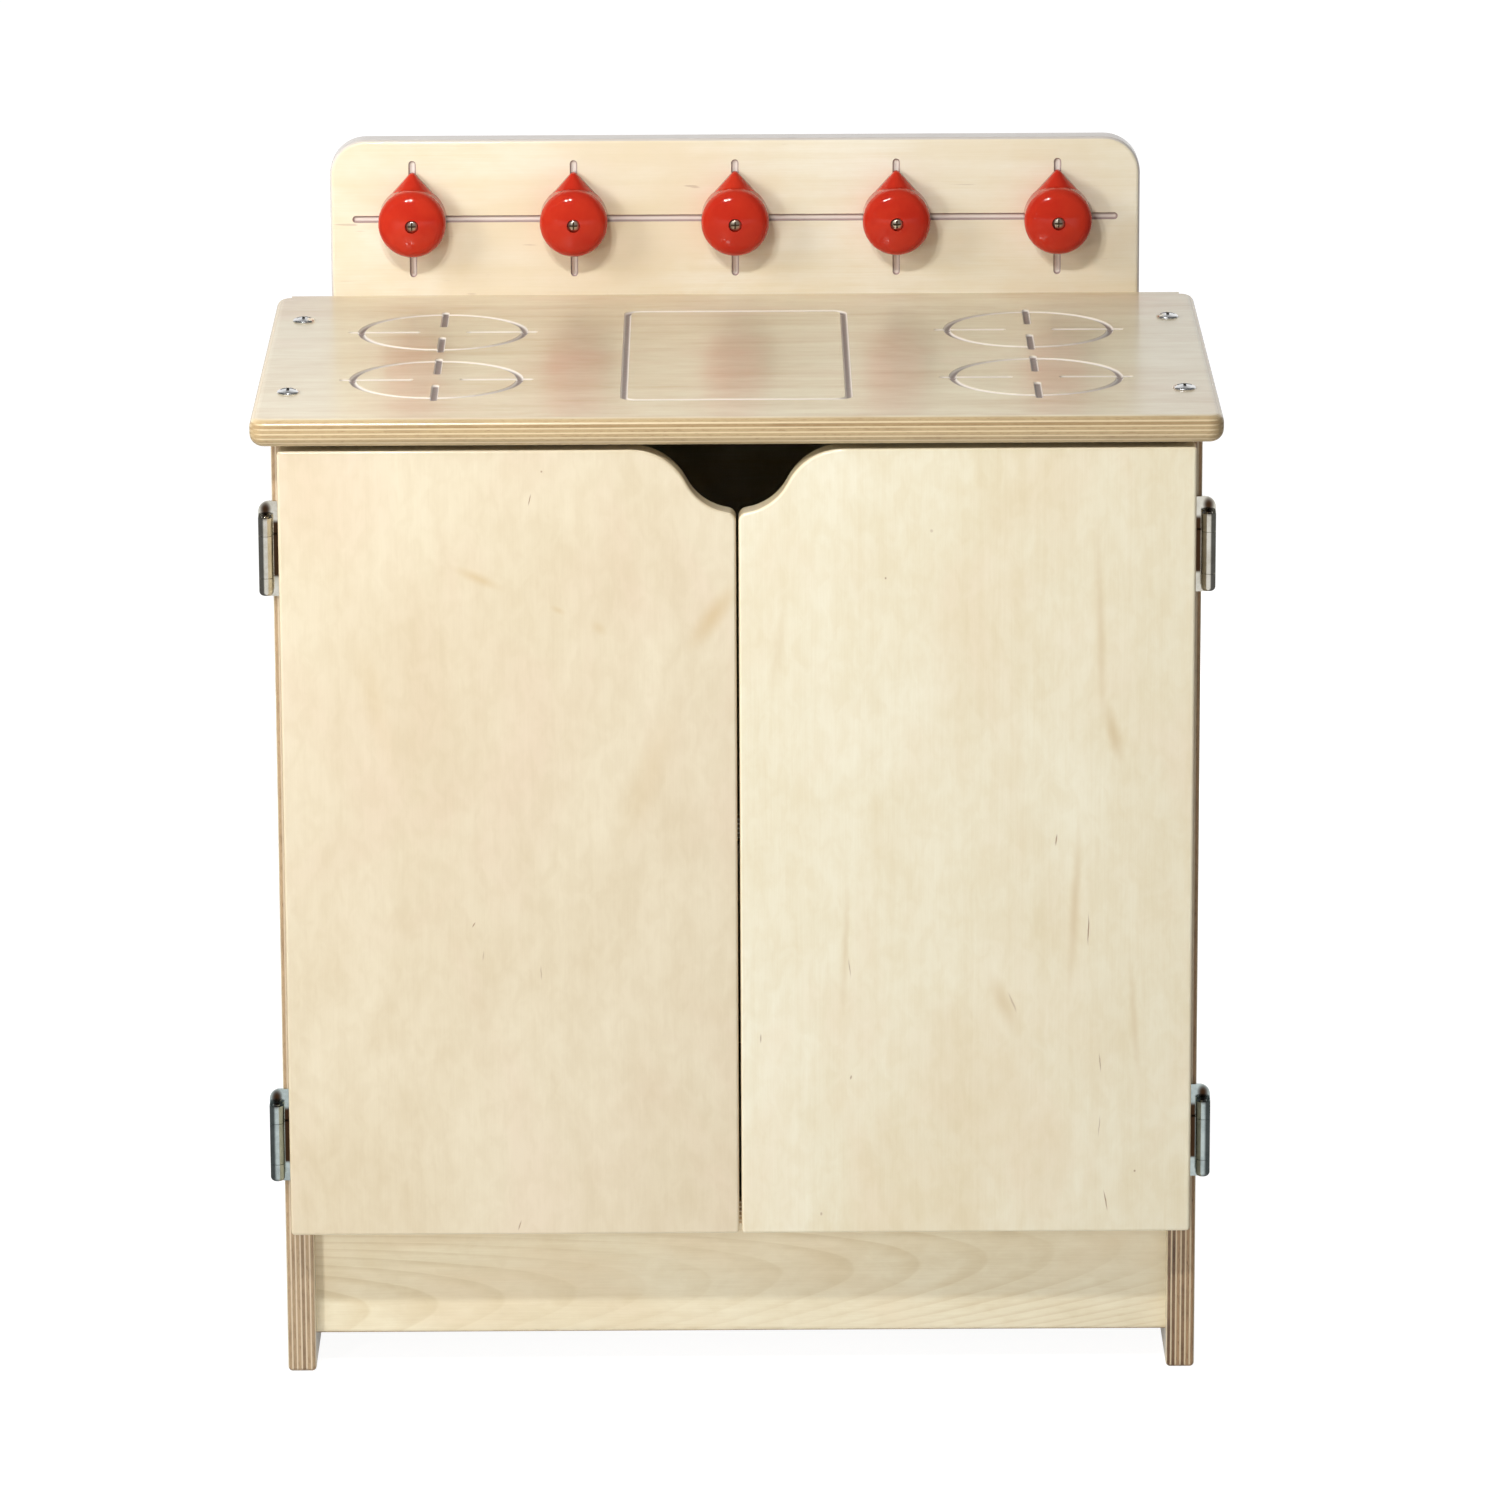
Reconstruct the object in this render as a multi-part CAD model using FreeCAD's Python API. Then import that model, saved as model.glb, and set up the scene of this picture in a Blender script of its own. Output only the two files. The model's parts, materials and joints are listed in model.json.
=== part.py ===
# Child's play stove in birch plywood: a two-door cabinet with a routed cooktop,
# a backsplash that carries five turning knobs, and wrap-round hinges.
# Lengths are in millimetres. +X is to the right of someone who faces the stove,
# +Y runs to the rear and +Z is up. The origin is on the floor, under the stove's middle.

import FreeCAD, Part
import math
import os

from FreeCAD import Placement, Rotation, Vector

# Boards
board = 19.0                    # thickness of every plywood panel
eased_edge = 3.0                # rounding along a panel's exposed edges

# Carcass
carcass_width = 610.0           # over the outer faces of the side panels
carcass_depth = 376.0           # side panels, front edge to rear edge
counter_height = 663.5          # floor to the top's upper face
floor_gap = 23.0                # floor to the kick plate and to the back panel
kick_height = 78.5
kick_recess = 12.0              # kick plate behind the side panels' front edges
shelf_recess = 3.0              # shelves behind the side panels' front edges
middle_shelf_height = 387.0     # floor to the middle shelf's upper face

# Top
top_side_overhang = 12.5
top_front_overhang = 30.0
top_corner = 10.0               # rounding of its corners, seen from above
top_edge = 6.0                  # rounding along its upper edges
top_under_edge = 8.5            # rounding along its lower edges

# Backsplash, the upper part of the back panel
backsplash_height = 109.5       # above the counter
backsplash_step = 6.0           # each side narrower than the panel below
backsplash_corner = 25.0

# Routed grooves
nose = 2.6                      # radius of the round-nosed cutter
line_depth = 1.9                # rings, griddle and dial line
tick_depth = 2.3                # ticks that cross them
burner_radius = 55.5
burner_margin = 118.5           # burner centre from the top's end
burner_pitch = 148.0            # front burner to rear burner
burner_tick_inner = 18.0        # a tick's ends from its burner's centre
burner_tick_outer = 62.0
griddle_width = 148.0
griddle_length = 275.0
griddle_corner = 8.0
dial_margin = 15.0              # line through the knobs, from the backsplash's ends
dial_tick_length = 82.0         # upright tick behind each knob

# Doors
door_reveal = 5.0               # side panel edge that shows beside a door
door_gap = 1.6                  # between the two doors
door_top_gap = 3.5              # below the top
door_shelf_lap = 16.5           # lower edge below the bottom shelf's upper face
door_corner = 2.5
door_edge = 2.0                 # rounding along a door's edges
scoop_half_width = 70.0         # finger scoop in the doors' upper edges
scoop_depth = 43.0
scoop_bowl = 37.0               # radius of the scoop's hollow middle
scoop_lip = 6.0                 # rounding where the scoop meets the meeting edge

# Hinges
hinge_height = 64.0
hinge_rise = 64.0               # door's lower edge to the lower hinge's middle
hinge_drop = 70.0               # door's upper edge to the upper hinge's middle
hinge_leaf = 2.0                # sheet thickness
hinge_corner = 7.0              # rounding of the leaves' corners
frame_flange = 28.0             # frame leaf along the side panel's inner face
door_flange = 30.0              # door leaf along the door's back
knuckle_radius = 4.75
knuckle_end = 12.0              # length of the upper and lower knuckles
knuckle_middle = 28.0           # length of the middle knuckle
knuckle_tip = 3.0               # rounding of the lower knuckle's end
barrel_drop = 4.0               # barrel's middle below the leaves' middle
pin_radius = 2.5
pin_crown = 0.8                 # pin's rounded head above the upper knuckle
pin_outset = 4.0                # pin's axis outside the side panel's outer face

# Knobs
knob_count = 5
knob_margin = 57.0              # outer knobs' axes from the backsplash's ends
knob_rise = 54.0                # knob's axis above the counter
knob_radius = 23.5
knob_depth = 27.5               # back to front
knob_rim = 9.0                  # rounding of the front rim
knob_dome = 48.0                # radius of the front's low dome
knob_back_edge = 1.5            # rounding of the rear rim
pointer_reach = 33.0            # knob's axis to the pointer's tip
pointer_tip = 2.8               # radius of the tip
pointer_base = 3.5              # thickness under the pointer's cone
pointer_inset = 0.6             # pointer's root inside the knob's rim
knob_recess_radius = 4.6        # hollow for the screw's head
knob_recess_depth = 3.6

# Knob screws
knob_screw_head = 4.2           # head radius
knob_screw_crown = 2.2          # head height
knob_screw_radius = 2.1
knob_screw_grip = 15.0          # length in the backsplash

# Bolts that hold the top on the side panels, and their barrel nuts
bolt_pitch = 223.0              # front bolt to rear bolt
bolt_head = 7.5                 # head radius
bolt_crown = 3.2                # head height
bolt_radius = 3.0
bolt_length = 60.0
nut_radius = 5.0
nut_length = 14.0
nut_drop = 30.0                 # nut's axis below the top

# Flat-headed screws of the hinges, the catch and the strike plates
flat_screw_head = 3.4           # head radius
flat_screw_sink = 1.8           # head height
flat_screw_radius = 1.75
hinge_screw_length = 14.0
catch_screw_length = 26.0
strike_screw_length = 12.0

# Dowels in the glued joints
dowel_radius = 4.0
dowel_side_depth = 12.0         # in a side panel or the back panel
dowel_end_depth = 24.0          # in the end of the panel that meets it
dowel_chamfer = 1.0

# Magnetic catch under the middle shelf, and the strike plates on the doors
catch_width = 62.0
catch_depth = 26.0
catch_height = 15.0
catch_edge = 2.0                # rounding of the housing's corners
magnet_spread = 13.0            # magnet's middle from the stove's middle line
magnet_width = 14.0
magnet_height = 8.0
magnet_depth = 16.0
catch_screw_spread = 25.0
strike_width = 20.0
strike_height = 30.0
strike_thickness = 1.6
strike_corner = 2.0

# Clearances
hinge_clearance = 0.3           # between hinge leaves, and between knuckles
turning_clearance = 0.05        # round a pin or a screw that something turns on
seat_clearance = 0.05           # round a dowel, a nut or a screw
knob_clearance = 0.3            # behind a knob, and under its screw's head
catch_clearance = 0.3           # magnet to strike plate
dowel_end_clearance = 0.5
overrun = 1.0                   # how far a cutter passes the surface it cuts
tolerance = 0.001               # two places this close are the same

# Shares of the size that each follows
shelf_dowel_shares = (0.15, 0.5, 0.85)
kick_dowel_shares = (0.3, 0.7)
back_dowel_shares = (0.1, 0.37, 0.63, 0.9)
top_dowel_shares = (-0.3, 0.0, 0.3)
frame_screw_shares = (-0.3, 0.3)
door_screw_shares = (-0.34, 0.0, 0.34)
strike_screw_shares = (-0.32, 0.32)
flange_screw_share = 0.55
recess_reach_share = 0.66
recess_width_share = 0.26
recess_depth_share = 0.6
dome_share = 1.87               # a raised head's dome, of the head's radius
shoulder_share = 0.44           # the rounding at its rim, of its height
screw_point_share = 2.5
ring_seam_angle = 45            # keeps a ring's seam away from its ticks

# Places that several pieces share
half_carcass = carcass_width / 2
half_inside = half_carcass - board
half_depth = (carcass_depth + top_front_overhang) / 2
side_front = top_front_overhang - half_depth
back_front = half_depth - board
top_half_width = half_carcass + top_side_overhang
top_middle = (back_front - half_depth) / 2
top_underside = counter_height - board
kick_top = floor_gap + kick_height
kick_front = side_front + kick_recess
shelf_front = side_front + shelf_recess
line_lift = nose - line_depth
tick_lift = nose - tick_depth
splash_half = half_inside - backsplash_step
knob_axis = counter_height + knob_rise
knob_spread = splash_half - knob_margin
knob_pitch = 2 * knob_spread / (knob_count - 1)
knob_places = [place * knob_pitch - knob_spread for place in range(knob_count)]
knob_front = back_front - knob_clearance - knob_depth
door_back = side_front - 2 * hinge_leaf - hinge_clearance
door_low = kick_top + board - door_shelf_lap
door_high = top_underside - door_top_gap
door_outer = half_carcass - door_reveal
door_inner = door_gap / 2
hinge_levels = {"lower": door_low + hinge_rise, "upper": door_high - hinge_drop}
barrel_half = knuckle_middle / 2 + hinge_clearance + knuckle_end
pin_x = half_carcass + pin_outset
pin_y = side_front - hinge_leaf - hinge_clearance - knuckle_radius
catch_top = middle_shelf_height - board
catch_front = door_back + strike_thickness + catch_clearance
magnet_level = catch_top - catch_height / 2
middle = Vector(0, 0, 0)
right = Vector(1, 0, 0)
rear = Vector(0, 1, 0)
up = Vector(0, 0, 1)


# Plain shapes
def near(first, second):
    return abs(first - second) < tolerance


def block(x_low, x_high, y_low, y_high, z_low, z_high):
    corner = Vector(x_low, y_low, z_low)
    return Part.makeBox(x_high - x_low, y_high - y_low, z_high - z_low, corner)


def rod(start, end, radius):
    return Part.makeCylinder(radius, (end - start).Length, start, end - start)


def placed(shape, point, direction):
    """Moves a shape made at the origin to a point, with its +Z along a direction."""
    moved = shape.copy()
    moved.Placement = Placement(point, Rotation(up, direction))
    return moved


def mirrored(shape):
    return shape.mirror(middle, right)


def rounded(shape, radius, wanted):
    """Rounds the edges whose middle point is wanted."""
    return shape.makeFillet(radius, [edge for edge in shape.Edges if wanted(edge.CenterOfMass)])


def carved(shape, cutters):
    for cutter in cutters:
        shape = shape.cut(cutter)
    return shape


def line(start, end):
    return Part.makeLine(start, end)


def arc(start, through, end):
    return Part.Arc(start, through, end).toShape()


def bend(centre, start, end):
    """The shorter arc between two points about a centre."""
    outward = (start + end) / 2 - centre
    return arc(start, centre + outward.normalize() * (start - centre).Length, end)


def polygon(points):
    return [line(start, end) for start, end in zip(points, points[1:] + points[:1])]


def extruded(edges, run):
    return Part.Face(Part.Wire(edges)).extrude(run)


def turned(edges):
    """A solid turned about Z from an outline in the XZ plane."""
    return Part.Face(Part.Wire(edges)).revolve(middle, up, 360)


def turned_polygon(corners):
    return turned(polygon([Vector(radius, 0, height) for radius, height in corners]))


# Screws, each with its head's seat at the origin and +Z out of the surface
def cross_recess(head_radius, head_top, head_height):
    reach = head_radius * recess_reach_share
    half_width = head_radius * recess_width_share / 2
    low = head_top - head_height * recess_depth_share
    high = head_top + overrun
    across = block(-reach, reach, -half_width, half_width, low, high)
    return across.fuse(block(-half_width, half_width, -reach, reach, low, high))


def flat_screw(length):
    """A screw whose head lies flush in a countersink."""
    point = flat_screw_radius * screw_point_share
    body = turned_polygon([(0, 0), (flat_screw_head, 0), (flat_screw_radius, -flat_screw_sink),
                           (flat_screw_radius, point - length), (0, -length)])
    return body.cut(cross_recess(flat_screw_head, 0, flat_screw_sink))


def flat_screw_seat(length):
    head = flat_screw_head + seat_clearance
    radius = flat_screw_radius + seat_clearance
    return turned_polygon([(0, overrun), (head, overrun), (head, 0), (radius, -flat_screw_sink),
                           (radius, -length), (0, -length)])


def flat_screws(length, points, outward):
    return [placed(flat_screw(length), point, outward) for point in points]


def flat_screw_seats(length, points, outward):
    return [placed(flat_screw_seat(length), point, outward) for point in points]


def domed_screw(head_radius, crown, radius, length):
    """A screw or bolt whose low domed head stands on the surface."""
    dome = head_radius * dome_share
    shoulder = crown * shoulder_share
    dome_hub = Vector(0, 0, crown - dome)
    shoulder_out = head_radius - shoulder
    shoulder_rise = math.sqrt((dome - shoulder) ** 2 - shoulder_out ** 2)
    shoulder_hub = Vector(shoulder_out, 0, dome_hub.z + shoulder_rise)
    crest = Vector(0, 0, crown)
    meet = dome_hub + (shoulder_hub - dome_hub) * (dome / (dome - shoulder))
    brim = Vector(head_radius, 0, shoulder_hub.z)
    foot = Vector(head_radius, 0, 0)
    shank = [Vector(radius, 0, height) for height in (0, radius - length)]
    tip = [Vector(reach, 0, -length) for reach in (radius / 2, 0)]
    corners = [brim, foot] + shank + tip + [crest]
    edges = [line(start, end) for start, end in zip(corners, corners[1:])]
    body = turned(edges + [bend(dome_hub, crest, meet), bend(shoulder_hub, meet, brim)])
    return body.cut(cross_recess(head_radius, crown, crown))


# Grooves, cut with a round-nosed cutter
def straight_groove(start, end, outward):
    """The cutter's sweep from one point to another, with its seam outside the board."""
    length = (end - start).Length
    slant = nose / math.sqrt(2)
    low = Vector(0, 0, -nose)
    high = Vector(0, 0, length + nose)
    low_side = Vector(nose, 0, 0)
    high_side = Vector(nose, 0, length)
    sweep = turned([arc(low, Vector(slant, 0, -slant), low_side),
                    line(low_side, high_side),
                    arc(high_side, Vector(slant, 0, length + slant), high),
                    line(high, low)])
    sweep.Placement = Placement(start, Rotation(outward, middle, end - start, "ZXY"))
    return sweep


def ring_groove(centre):
    """The cutter's sweep round a burner."""
    inner = burner_radius - nose
    outer = burner_radius + nose
    walls = [Vector(outer, 0, 0), Vector(outer, 0, nose), Vector(inner, 0, nose), Vector(inner, 0, 0)]
    edges = [line(start, end) for start, end in zip(walls, walls[1:])]
    sweep = turned(edges + [arc(walls[-1], Vector(burner_radius, 0, -nose), walls[0])])
    sweep.Placement = Placement(centre, Rotation(up, ring_seam_angle))
    return sweep


def burner_grooves(centre):
    """A ring with four ticks that cross it."""
    cuts = [ring_groove(centre + up * line_lift)]
    tick_centre = centre + up * tick_lift
    for direction in (right, rear, -right, -rear):
        inner = tick_centre + direction * burner_tick_inner
        cuts.append(straight_groove(inner, tick_centre + direction * burner_tick_outer, up))
    return cuts


def griddle_groove(centre):
    """A rectangle with rounded corners."""
    half_width = griddle_width / 2
    half_length = griddle_length / 2
    run_x = half_width - griddle_corner
    run_y = half_length - griddle_corner
    slant = griddle_corner / math.sqrt(2)
    path = []
    for side_x, side_y in ((1, 1), (-1, 1), (-1, -1), (1, -1)):
        corner = centre + Vector(side_x * run_x, side_y * run_y, 0)
        on_side = corner + right * (side_x * griddle_corner)
        on_end = corner + rear * (side_y * griddle_corner)
        start, end = (on_side, on_end) if side_x == side_y else (on_end, on_side)
        if path:
            path.append(line(path[-1].Vertexes[-1].Point, start))
        path.append(arc(start, corner + Vector(side_x * slant, side_y * slant, 0), end))
    path.append(line(path[-1].Vertexes[-1].Point, path[0].Vertexes[0].Point))
    cutter = Part.makeCircle(nose, path[0].Vertexes[0].Point, rear)
    return Part.Wire(path).makePipeShell([Part.Wire(cutter)], True, True)


# Dowels of the glued joints
def side_dowel_points():
    """Where dowels cross a side panel's inner face, as y and z."""
    shelf_depth = back_front - shelf_front
    back_height = top_underside - floor_gap
    points = []
    for level in (kick_top + board / 2, middle_shelf_height - board / 2):
        points += [(shelf_front + share * shelf_depth, level) for share in shelf_dowel_shares]
    points += [(kick_front + board / 2, floor_gap + share * kick_height) for share in kick_dowel_shares]
    points += [(back_front + board / 2, floor_gap + share * back_height) for share in back_dowel_shares]
    return points


def top_dowel_points():
    """Where dowels cross the joint between the top and the back panel."""
    return [Vector(share * carcass_width, back_front, counter_height - board / 2)
            for share in top_dowel_shares]


def dowel(start, direction):
    length = dowel_side_depth + dowel_end_depth
    small = dowel_radius - dowel_chamfer
    shape = turned_polygon([(0, 0), (small, 0), (dowel_radius, dowel_chamfer),
                            (dowel_radius, length - dowel_chamfer), (small, length), (0, length)])
    return placed(shape, start, direction)


def dowel_hole(face_point, direction, depth):
    return rod(face_point - direction * overrun, face_point + direction * (depth + dowel_end_clearance),
               dowel_radius + seat_clearance)


def carcass_dowels():
    dowels = []
    for y, z in side_dowel_points():
        for side in (-1, 1):
            outer_end = Vector(side * (half_inside + dowel_side_depth), y, z)
            dowels.append(dowel(outer_end, right * -side))
    for point in top_dowel_points():
        dowels.append(dowel(point + rear * dowel_side_depth, -rear))
    return dowels


def end_dowel_holes(y_low, y_high, z_low, z_high):
    """Holes in both ends of the panel that fills this space between the sides."""
    holes = []
    for y, z in side_dowel_points():
        if y_low < y < y_high and z_low < z < z_high:
            for side in (-1, 1):
                face_point = Vector(side * half_inside, y, z)
                holes.append(dowel_hole(face_point, right * -side, dowel_end_depth))
    return holes


# Bolts that hold the top down, each with a barrel nut inside a side panel
def bolt_points(side):
    """Where one side's bolts meet the top's upper face."""
    return [Vector(side * (half_carcass - board / 2), top_middle + end * bolt_pitch / 2, counter_height)
            for end in (-1, 1)]


def top_bolt(point):
    return placed(domed_screw(bolt_head, bolt_crown, bolt_radius, bolt_length), point, up)


def bolt_hole(point):
    return rod(point + up * overrun, point - up * (bolt_length + overrun), bolt_radius + seat_clearance)


def barrel_nut(point):
    centre = point - up * (board + nut_drop)
    half_run = right * (nut_length / 2)
    return rod(centre - half_run, centre + half_run, nut_radius).cut(bolt_hole(point))


def right_nut_hole(point):
    """Opens to the cabinet's inside."""
    centre = point - up * (board + nut_drop)
    return rod(centre - right * (board / 2 + overrun), centre + right * (nut_length / 2 + seat_clearance),
               nut_radius + seat_clearance)


# Boards of the carcass
def right_side_panel():
    panel = rounded(block(half_inside, half_carcass, side_front, half_depth, 0, top_underside),
                    eased_edge, lambda point: point.z < top_underside - tolerance)
    cuts = [dowel_hole(Vector(half_inside, y, z), right, dowel_side_depth) for y, z in side_dowel_points()]
    for point in bolt_points(1):
        cuts += [bolt_hole(point), right_nut_hole(point)]
    for level in hinge_levels.values():
        cuts += flat_screw_seats(hinge_screw_length, frame_screw_points(level), -right)
    return panel.cut(cuts)


def cross_panel(y_low, y_high, z_low, z_high):
    """A board between the side panels, with its front edges eased."""
    panel = rounded(block(-half_inside, half_inside, y_low, y_high, z_low, z_high), eased_edge,
                    lambda point: near(point.x, 0) and near(point.y, y_low))
    return panel.cut(end_dowel_holes(y_low, y_high, z_low, z_high))


def kick_plate():
    return cross_panel(kick_front, kick_front + board, floor_gap, kick_top)


def bottom_shelf():
    return cross_panel(shelf_front, back_front, kick_top, kick_top + board)


def middle_shelf():
    shelf = cross_panel(shelf_front, back_front, middle_shelf_height - board, middle_shelf_height)
    return shelf.cut(flat_screw_seats(catch_screw_length, catch_screw_points(), -up))


def back_panel():
    """Fills the space between the sides and rises above the counter as the backsplash."""
    splash_top = counter_height + backsplash_height
    corner_x = splash_half - backsplash_corner
    corner_z = splash_top - backsplash_corner
    half_outline = ((half_inside, floor_gap), (half_inside, top_underside), (splash_half, top_underside),
                    (splash_half, corner_z), (corner_x, splash_top))
    right_points = [Vector(x, back_front, z) for x, z in half_outline]
    left_points = [Vector(-x, back_front, z) for x, z in half_outline]
    edges = [line(left_points[0], right_points[0]), line(right_points[-1], left_points[-1])]
    for side, points in ((1, right_points), (-1, left_points)):
        edges += [line(start, end) for start, end in zip(points[:-2], points[1:-1])]
        edges.append(bend(Vector(side * corner_x, back_front, corner_z), points[-2], points[-1]))
    panel = rounded(extruded(Part.__sortEdges__(edges), rear * board), eased_edge,
                    lambda point: point.z > counter_height and not near(point.y, back_front + board / 2))
    cuts = end_dowel_holes(back_front, half_depth, floor_gap, top_underside)
    cuts += [dowel_hole(point, rear, dowel_side_depth) for point in top_dowel_points()]
    half_line = right * (splash_half - dial_margin - nose)
    half_tick = up * (dial_tick_length / 2 - nose)
    dial_middle = Vector(0, back_front - line_lift, knob_axis)
    cuts.append(straight_groove(dial_middle - half_line, dial_middle + half_line, -rear))
    for x in knob_places:
        tick_middle = Vector(x, back_front - tick_lift, knob_axis)
        cuts.append(straight_groove(tick_middle - half_tick, tick_middle + half_tick, -rear))
        screw_mouth = Vector(x, back_front - overrun, knob_axis)
        screw_end = Vector(x, back_front + knob_screw_grip + seat_clearance, knob_axis)
        cuts.append(rod(screw_mouth, screw_end, knob_screw_radius + seat_clearance))
    return carved(panel, cuts)


def top_panel():
    slab = block(-top_half_width, top_half_width, -half_depth, back_front, top_underside, counter_height)
    slab = rounded(slab, top_corner, lambda point: near(point.z, counter_height - board / 2))
    slab = rounded(slab, top_edge, lambda point: near(point.z, counter_height))
    slab = rounded(slab, top_under_edge, lambda point: near(point.z, top_underside))
    straight = top_half_width - top_corner
    square_rear = block(-straight, straight, back_front - top_corner, back_front, top_underside, counter_height)
    slab = slab.fuse(square_rear).removeSplitter()
    centre = Vector(0, top_middle, counter_height)
    cuts = [griddle_groove(centre + up * line_lift)]
    burner_spread = top_half_width - burner_margin
    for side in (-1, 1):
        for end in (-1, 1):
            cuts += burner_grooves(centre + Vector(side * burner_spread, end * burner_pitch / 2, 0))
        cuts += [bolt_hole(point) for point in bolt_points(side)]
    cuts += [dowel_hole(point, -rear, dowel_end_depth) for point in top_dowel_points()]
    return carved(slab, cuts)


# Doors, made for the right-hand side
def right_door():
    front = door_back - board

    def at(x, z):
        return Vector(x, front, z)

    reach = (scoop_half_width ** 2 + scoop_depth ** 2) / (2 * scoop_depth)
    shoulder = reach - scoop_bowl
    bowl_hub = at(0, door_high - scoop_depth + scoop_bowl)
    shoulder_hub = at(scoop_half_width, door_high - shoulder)
    shoulder_end = at(scoop_half_width, door_high)
    change = bowl_hub + (shoulder_hub - bowl_hub) * (scoop_bowl / reach)
    lip_drop = math.sqrt((scoop_bowl + scoop_lip) ** 2 - (door_inner + scoop_lip) ** 2)
    lip_hub = at(door_inner + scoop_lip, bowl_hub.z - lip_drop)
    lip_start = at(door_inner, lip_hub.z)
    lip_end = bowl_hub + (lip_hub - bowl_hub) * (scoop_bowl / (scoop_bowl + scoop_lip))
    edges = [bend(lip_hub, lip_start, lip_end), bend(bowl_hub, lip_end, change),
             bend(shoulder_hub, change, shoulder_end)]
    last = shoulder_end
    corners = ((door_outer, door_high, -1, -1), (door_outer, door_low, -1, 1), (door_inner, door_low, 1, 1))
    for corner_x, corner_z, turn_x, turn_z in corners:
        hub = at(corner_x + turn_x * door_corner, corner_z + turn_z * door_corner)
        on_side = at(corner_x, hub.z)
        on_end = at(hub.x, corner_z)
        first, second = (on_end, on_side) if turn_x == turn_z else (on_side, on_end)
        edges += [line(last, first), bend(hub, first, second)]
        last = second
    edges.append(line(last, lip_start))
    slab = rounded(extruded(edges, rear * board), door_edge,
                   lambda point: near(point.y, front) or near(point.y, door_back))
    cuts = flat_screw_seats(strike_screw_length, strike_screw_points(), rear)
    for level in hinge_levels.values():
        cuts += flat_screw_seats(hinge_screw_length, door_screw_points(level), rear)
    return slab.cut(cuts)


# Hinges, made for the right-hand side
def frame_screw_points(level):
    x = half_inside - hinge_leaf
    y = side_front + frame_flange * flange_screw_share
    return [Vector(x, y, level + share * hinge_height) for share in frame_screw_shares]


def door_screw_points(level):
    x = door_outer - door_flange * flange_screw_share
    y = door_back + hinge_leaf
    return [Vector(x, y, level + share * hinge_height) for share in door_screw_shares]


def pin_bore(level):
    """The bore of all three knuckles, closed at the lower knuckle's tip."""
    start = Vector(pin_x, pin_y, level - barrel_drop - barrel_half + knuckle_tip)
    end = Vector(pin_x, pin_y, level - barrel_drop + barrel_half + overrun)
    return rod(start, end, pin_radius + turning_clearance)


def frame_knuckle(low, high):
    """A rolled tab that comes forward from the plate and round the pin."""
    outer = Vector(pin_x + knuckle_radius, pin_y, low)
    front = Vector(pin_x, pin_y - knuckle_radius, low)
    heel = Vector(pin_x, pin_y + knuckle_radius, low)
    inner_root = Vector(pin_x, side_front, low)
    outer_root = Vector(pin_x + knuckle_radius, side_front, low)
    edges = [arc(outer, front, Vector(pin_x - knuckle_radius, pin_y, low)),
             bend(Vector(pin_x, pin_y, low), Vector(pin_x - knuckle_radius, pin_y, low), heel),
             line(heel, inner_root), line(inner_root, outer_root), line(outer_root, outer)]
    return extruded(edges, up * (high - low))


def knuckle_cap():
    """The rounded end of the lower knuckle, on Z and from zero up."""
    small = knuckle_radius - knuckle_tip
    foot = Vector(small, 0, 0)
    side = Vector(knuckle_radius, 0, knuckle_tip)
    top = Vector(0, 0, knuckle_tip)
    return turned([line(middle, foot), bend(Vector(small, 0, knuckle_tip), foot, side), line(side, top),
                   line(top, middle)])


def frame_leaf(level):
    """Wraps the side panel's front edge and carries the upper and lower knuckles."""
    low = level - hinge_height / 2
    high = level + hinge_height / 2
    outer = pin_x + knuckle_radius
    inner = half_inside - hinge_leaf
    front = side_front - hinge_leaf
    end = side_front + frame_flange
    plate = rounded(block(inner, outer, front, side_front, low, high), hinge_corner,
                    lambda point: near(point.x, outer) and not near(point.z, level))
    flange = rounded(block(inner, half_inside, front, end, low, high), hinge_corner,
                     lambda point: near(point.y, end) and not near(point.z, level))
    barrel = level - barrel_drop
    half_notch = knuckle_middle / 2 + hinge_clearance
    notch = block(pin_x - knuckle_radius - hinge_clearance, outer + overrun, front - overrun,
                  side_front + overrun, barrel - half_notch, barrel + half_notch)
    tip_top = barrel - barrel_half + knuckle_tip
    knuckles = [frame_knuckle(barrel + half_notch, barrel + barrel_half),
                frame_knuckle(tip_top, barrel - half_notch),
                placed(knuckle_cap(), Vector(pin_x, pin_y, barrel - barrel_half), up)]
    leaf = plate.fuse(flange).cut(notch).fuse(knuckles).removeSplitter()
    cuts = flat_screw_seats(hinge_screw_length, frame_screw_points(level), -right)
    return leaf.cut(cuts + [pin_bore(level)])


def door_leaf(level):
    """Lies on the door's back and carries the middle knuckle."""
    low = level - barrel_drop - knuckle_middle / 2
    inner = door_outer - door_flange
    plate = rounded(block(inner, door_outer, door_back, door_back + hinge_leaf, level - hinge_height / 2,
                          level + hinge_height / 2), hinge_corner,
                    lambda point: near(point.x, inner) and not near(point.z, level))
    heel = Vector(pin_x, pin_y + knuckle_radius, low)
    front = Vector(pin_x, pin_y - knuckle_radius, low)
    meet_x = pin_x - math.sqrt(knuckle_radius ** 2 - (door_back - pin_y) ** 2)
    meet = Vector(meet_x, door_back, low)
    root = Vector(door_outer, door_back, low)
    rear_root = Vector(door_outer, door_back + hinge_leaf, low)
    tab = extruded([arc(heel, front, meet), line(meet, root), line(root, rear_root), line(rear_root, heel)],
                   up * knuckle_middle)
    cuts = flat_screw_seats(hinge_screw_length, door_screw_points(level), rear)
    return plate.fuse(tab).removeSplitter().cut(cuts + [pin_bore(level)])


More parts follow.
